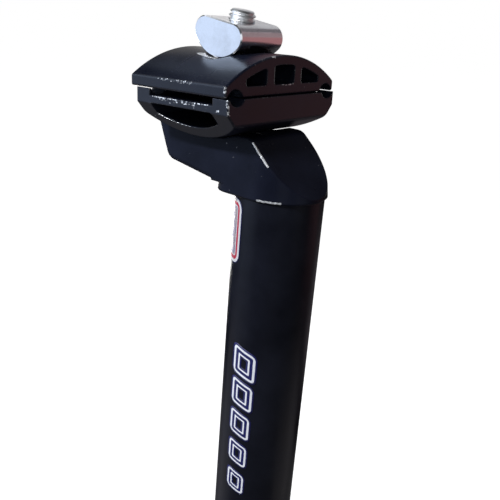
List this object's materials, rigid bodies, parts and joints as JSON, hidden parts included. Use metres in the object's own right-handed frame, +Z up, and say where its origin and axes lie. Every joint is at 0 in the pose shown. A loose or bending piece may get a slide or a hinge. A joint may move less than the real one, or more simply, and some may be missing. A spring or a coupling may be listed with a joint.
{
  "type": "bicycle seatpost",
  "caption": "Straight round post with a set-back head and a bolted saddle clamp: a rocking lower cradle and an arched upper jaw that grip the saddle's rails.",
  "frame": {"origin": "centre of the tube's lower end", "axes": "+Z up the tube to the saddle clamp, -Y to the bicycle's front, +Y to its rear, X across it"},
  "size_m": [0.0502, 0.056, 0.3729],
  "materials": {
    "tube_black": "satin black paint",
    "head_black": "satin black paint",
    "clamp_black": "satin black paint, chipped along its edges",
    "nut_steel": "bright zinc plating",
    "bolt_steel": "zinc plating"
  },
  "bodies": {
    "post": {"post_tube": "tube_black", "head": "head_black", "bolt_washer": "bolt_steel"},
    "cradle": {"lower_clamp": "clamp_black"},
    "jaw": {"upper_clamp": "clamp_black"},
    "bolt": {"clamp_bolt": "bolt_steel"},
    "nut": {"barrel_nut": "nut_steel"}
  },
  "joints": [
    {"name": "clamp_tilt", "type": "hinge", "parent": "post", "child": "cradle", "pos_m": [0, 0.0196, 0.3696], "axis": [1, 0, 0], "range_deg": [-4, 24]},
    {"name": "jaw_lift", "type": "slide", "parent": "cradle", "child": "jaw", "axis": [0, 0.0332, 0.9995], "range_m": [-0.0001, 0.004]},
    {"name": "bolt_turn", "type": "hinge", "parent": "post", "child": "bolt", "pos_m": [0, 0.0196, 0.3696], "axis": [0, 0.1392, -0.9903], "range_deg": [-20, 1500]},
    {"name": "nut_travel", "type": "slide", "parent": "post", "child": "nut", "axis": [0, -0.1392, 0.9903], "range_m": [0, 0.005]}
  ],
  "couplings": [
    {"joint": "bolt_turn", "follows": "nut_travel", "rad_per_m": 5026.5},
    {"joint": "jaw_lift", "follows": "nut_travel", "ratio": 0.75}
  ]
}
